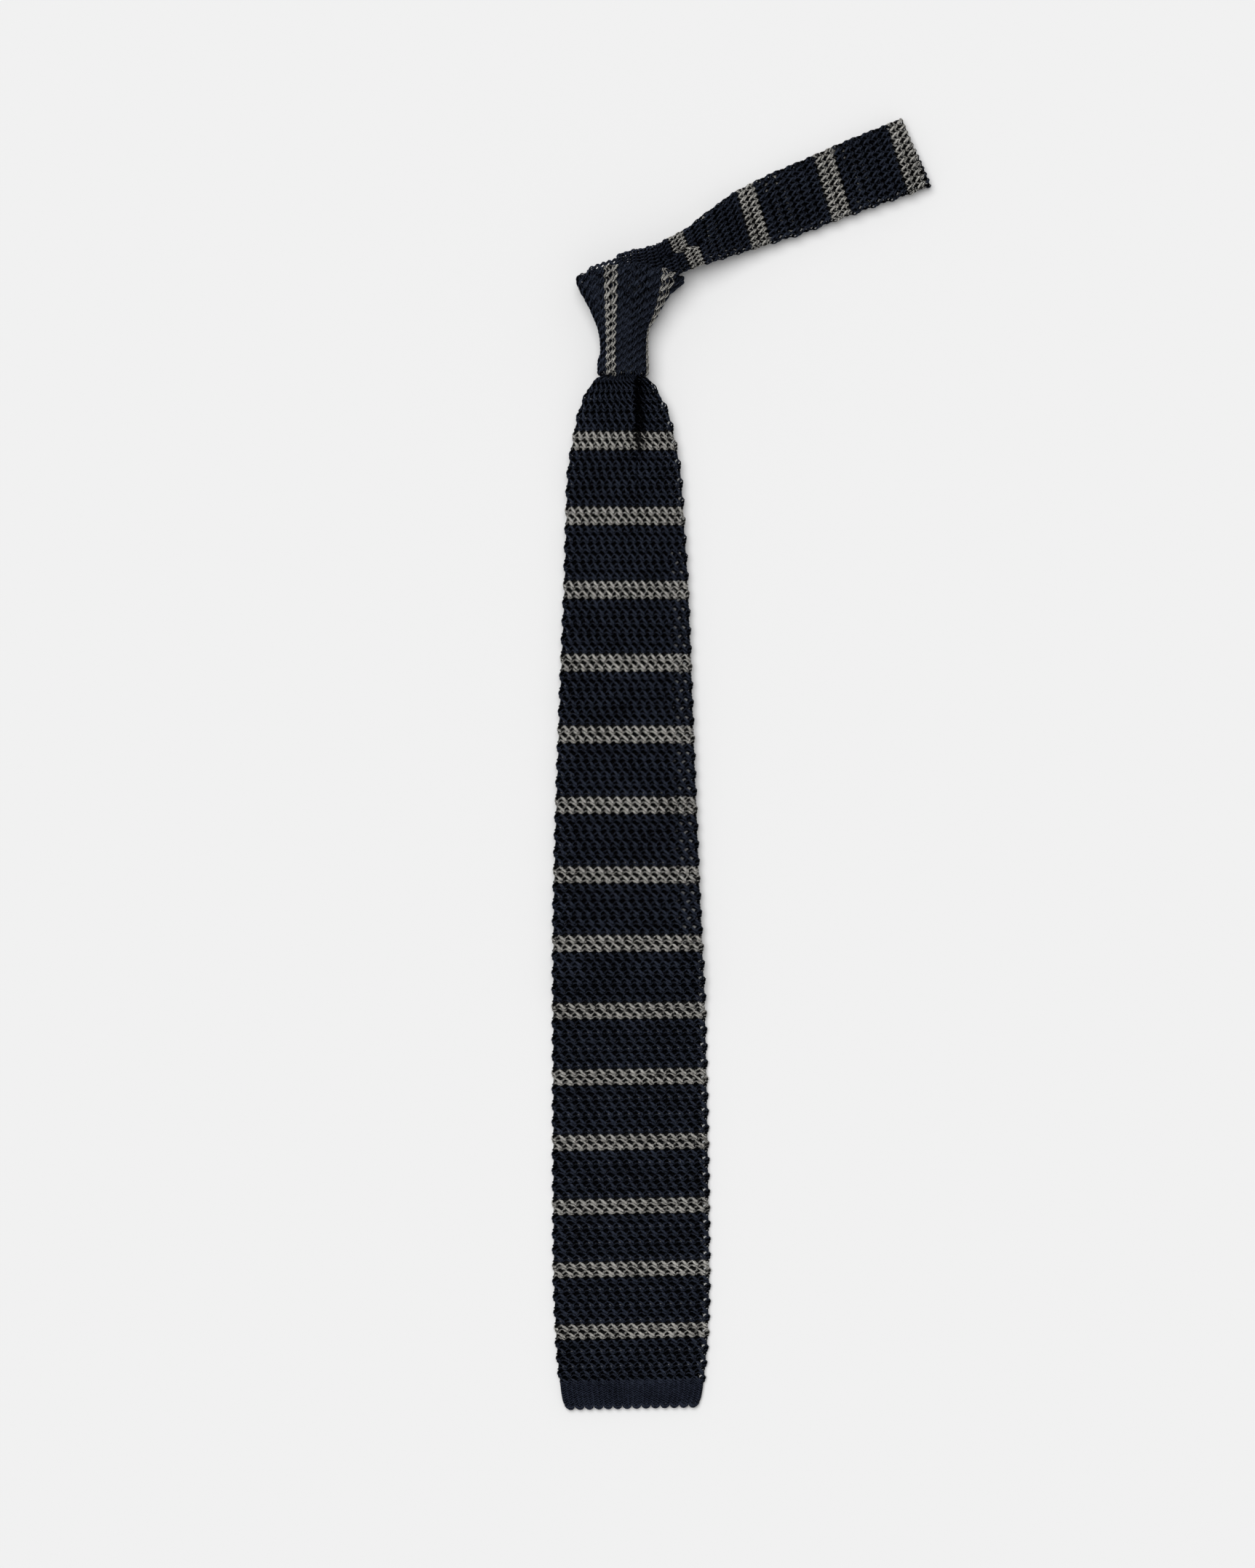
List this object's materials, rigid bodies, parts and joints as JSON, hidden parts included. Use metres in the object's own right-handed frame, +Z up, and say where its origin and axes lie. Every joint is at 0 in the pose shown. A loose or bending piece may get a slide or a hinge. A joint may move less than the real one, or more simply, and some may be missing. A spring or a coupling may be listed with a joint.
{
  "type": "knitted necktie, knotted and laid flat",
  "caption": "Square-ended tubular knit necktie tied in a slim knot and laid flat, with cross stripes and its neck loop pressed flat and folded back.",
  "frame": {"origin": "middle of the outline seen from above, on the surface that the tie lies on", "axes": "+Y up along the blade from its hem towards the knot, +X to the wearer's left as seen from the front, +Z up from the surface towards the front of the tie"},
  "size_m": [0.1428, 0.4864, 0.017],
  "materials": {
    "navy_knit": "open knit in deep navy silk yarn with a soft sheen",
    "band_knit": "tight knit in the same deep navy silk yarn"
  },
  "bodies": {
    "root": {"front_blade": "navy_knit", "front_end_band": "band_knit", "knot_wrap": "navy_knit", "neck_band": "navy_knit", "narrow_blade": "navy_knit", "narrow_end_band": "band_knit"}
  },
  "joints": []
}
